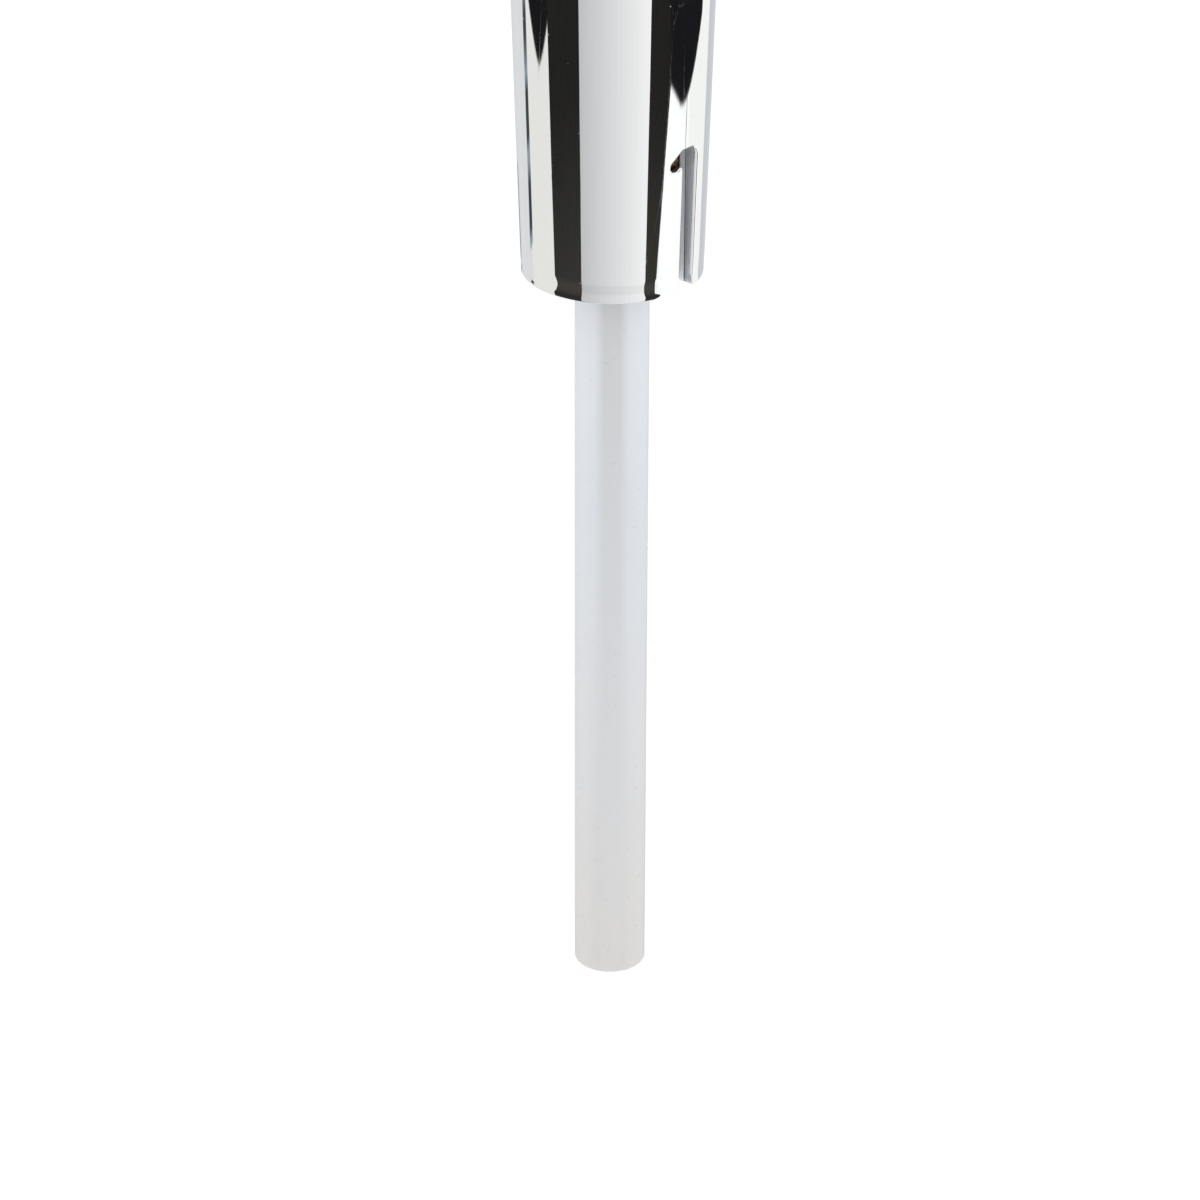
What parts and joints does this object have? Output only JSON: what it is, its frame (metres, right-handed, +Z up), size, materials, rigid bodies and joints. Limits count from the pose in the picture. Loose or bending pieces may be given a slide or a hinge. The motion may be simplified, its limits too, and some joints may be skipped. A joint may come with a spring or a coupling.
{
  "type": "white cane",
  "caption": "Telescoping white cane: tapered chrome mouth sleeve with a bayonet slot, rubber grip, strap eye, and white tubes that slide out to a plain flat tip.",
  "frame": {"origin": "middle of the hand grip, on the cane's axis", "axes": "+Z runs up the cane from tip to strap eye, and -Y is the side with the grip's finger flat; the bayonet slot is between -Y and +X"},
  "size_m": [0.0308, 0.0304, 0.3886],
  "materials": {
    "chrome_plate": "polished",
    "white_tube": "milky white, semi-gloss",
    "white_nylon": "moulded",
    "satin_aluminium": "turned, satin",
    "aged_brass": "darkened",
    "spring_steel": "bright",
    "black_rubber": "pebbled",
    "black_plastic": "fine moulded grain"
  },
  "bodies": {
    "handle": {"chrome_mouth_sleeve": "chrome_plate", "mouth_liner": "spring_steel", "handle_core_tube": "satin_aluminium", "grip_trim_ring": "satin_aluminium", "rubber_grip": "black_rubber", "end_plug": "satin_aluminium", "top_buffer": "black_rubber", "end_cap": "black_plastic", "cap_set_screw": "spring_steel", "stop_ring": "spring_steel", "bayonet_spring": "spring_steel"},
    "strap_eye": {"strap_swivel": "spring_steel"},
    "thrust_seat": {"thrust_washer": "spring_steel"},
    "cartridge": {"bayonet_bushing": "aged_brass", "bayonet_pin": "aged_brass", "main_drag_ring": "black_rubber"},
    "section_1": {"white_tube_1": "white_tube", "stop_collar_1": "white_nylon", "ferrule_1": "white_tube", "drag_ring_1": "black_rubber"},
    "section_2": {"white_tube_2": "white_tube", "stop_collar_2": "white_nylon", "ferrule_2": "white_tube", "drag_ring_2": "black_rubber"},
    "section_3": {"white_tube_3": "white_tube", "stop_collar_3": "white_nylon", "ferrule_3": "white_tube", "drag_ring_3": "black_rubber"},
    "section_4": {"white_tube_4": "white_tube", "stop_collar_4": "white_nylon", "tip_plug": "white_nylon"}
  },
  "joints": [
    {"name": "strap_swivel_turn", "type": "hinge", "parent": "handle", "child": "strap_eye", "pos_m": [0, 0, 0.0912], "axis": [0, 0, 1], "continuous": true},
    {"name": "bayonet_lift", "type": "slide", "parent": "handle", "child": "thrust_seat", "axis": [0, 0, 1], "range_m": [0, 0.00115], "stiffness_N_per_m": 1500, "springref_m": -0.003, "deforming": ["bayonet_spring"]},
    {"name": "bayonet_turn", "type": "hinge", "parent": "thrust_seat", "child": "cartridge", "pos_m": [0, 0, -0.1564], "axis": [0, 0, 1], "range_deg": [0, 6.6]},
    {"name": "section_1_slide", "type": "slide", "parent": "cartridge", "child": "section_1", "axis": [0, 0, -1], "range_m": [0, 0.1925]},
    {"name": "section_2_slide", "type": "slide", "parent": "section_1", "child": "section_2", "axis": [0, 0, -1], "range_m": [0, 0.2115]},
    {"name": "section_3_slide", "type": "slide", "parent": "section_2", "child": "section_3", "axis": [0, 0, -1], "range_m": [0, 0.2115]},
    {"name": "section_4_slide", "type": "slide", "parent": "section_3", "child": "section_4", "axis": [0, 0, -1], "range_m": [-0.105, 0.1065]}
  ],
  "couplings": [
    {"joint": "bayonet_turn", "follows": "bayonet_lift", "rad_per_m": 96.2}
  ]
}
